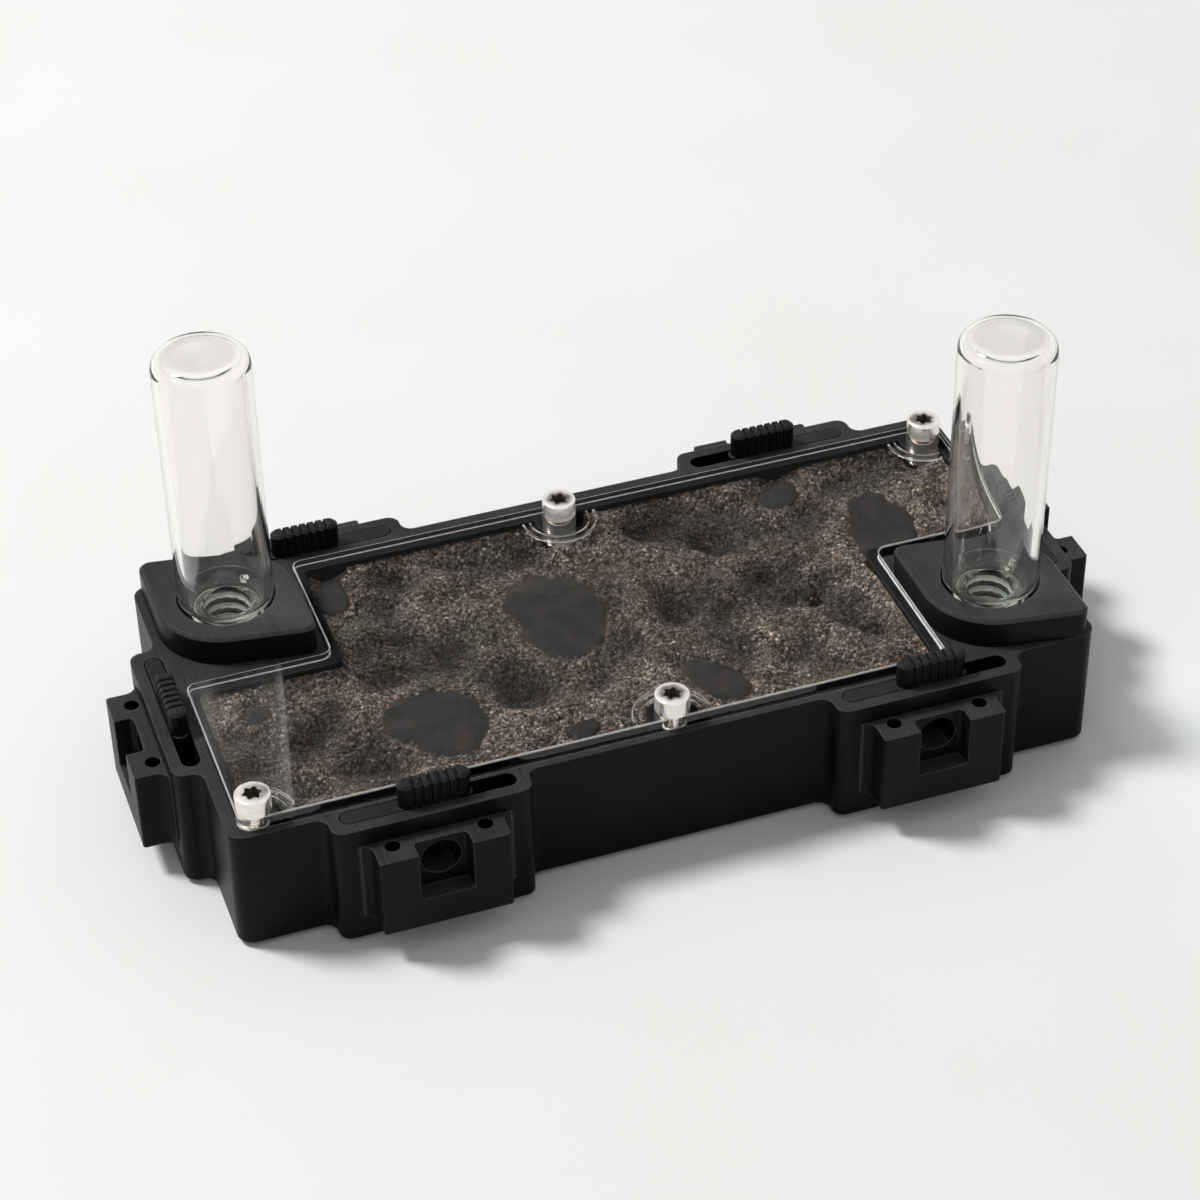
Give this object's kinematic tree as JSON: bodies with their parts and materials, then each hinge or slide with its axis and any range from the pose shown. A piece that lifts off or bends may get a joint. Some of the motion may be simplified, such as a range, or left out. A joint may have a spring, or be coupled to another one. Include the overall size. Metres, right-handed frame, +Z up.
{
  "type": "ant habitat",
  "caption": "Rectangular ant habitat tray with a clear screwed lid over sand, wall ports with sliding gates, and upright glass vials in threaded corner sockets.",
  "frame": {"origin": "middle of the tray's underside", "axes": "+X along the long side to the right, +Y from the front wall to the back, +Z up"},
  "size_m": [0.1588, 0.0828, 0.0725],
  "materials": {
    "black_print": "satin black printed plastic with fine layer lines",
    "gate_print": "satin black printed plastic, ribbed grip",
    "clear_plastic": "clear polished acrylic",
    "glass": "clear blown glass with a moulded screw neck",
    "stainless": "bright turned stainless steel",
    "brass": "knurled turned brass",
    "silicone": "translucent silicone",
    "sand": "coarse grey-brown sand",
    "stone": "smooth dark water-worn stone"
  },
  "bodies": {
    "root": {"tray_body": "black_print", "clear_lid": "clear_plastic", "flat_stones": "stone", "sand_bed": "sand", "port_block_front_left": "black_print", "port_block_front_right": "black_print", "port_block_right": "black_print", "port_block_back_right": "black_print", "port_block_back_left": "black_print", "port_block_left": "black_print", "lid_screw_1": "stainless", "brass_insert_1": "brass", "lid_screw_2": "stainless", "brass_insert_2": "brass", "lid_screw_3": "stainless", "brass_insert_3": "brass", "lid_screw_4": "stainless", "brass_insert_4": "brass", "vial_collar_left": "black_print", "vial_seal_left": "silicone", "vial_collar_right": "black_print", "vial_seal_right": "silicone"},
    "gate_front_left": {"gate_front_left": "gate_print"},
    "gate_front_right": {"gate_front_right": "gate_print"},
    "gate_right": {"gate_right": "gate_print"},
    "gate_back_right": {"gate_back_right": "gate_print"},
    "gate_back_left": {"gate_back_left": "gate_print"},
    "gate_left": {"gate_left": "gate_print"},
    "glass_vial_left": {"glass_vial_left": "glass"},
    "glass_vial_right": {"glass_vial_right": "glass"}
  },
  "joints": [
    {"name": "gate_front_left_slide", "type": "slide", "parent": "root", "child": "gate_front_left", "axis": [1, 0, 0], "range_m": [0, 0.0067]},
    {"name": "gate_front_right_slide", "type": "slide", "parent": "root", "child": "gate_front_right", "axis": [1, 0, 0], "range_m": [0, 0.0067]},
    {"name": "gate_right_slide", "type": "slide", "parent": "root", "child": "gate_right", "axis": [0, 1, 0], "range_m": [0, 0.0067]},
    {"name": "gate_back_right_slide", "type": "slide", "parent": "root", "child": "gate_back_right", "axis": [-1, 0, 0], "range_m": [0, 0.0067]},
    {"name": "gate_back_left_slide", "type": "slide", "parent": "root", "child": "gate_back_left", "axis": [-1, 0, 0], "range_m": [0, 0.0067]},
    {"name": "gate_left_slide", "type": "slide", "parent": "root", "child": "gate_left", "axis": [0, -1, 0], "range_m": [0, 0.0067]},
    {"name": "glass_vial_left_lift", "type": "slide", "parent": "root", "child": "glass_vial_left", "axis": [0, 0, 1], "range_m": [0, 0.014]},
    {"name": "glass_vial_right_lift", "type": "slide", "parent": "root", "child": "glass_vial_right", "axis": [0, 0, 1], "range_m": [0, 0.014]}
  ]
}
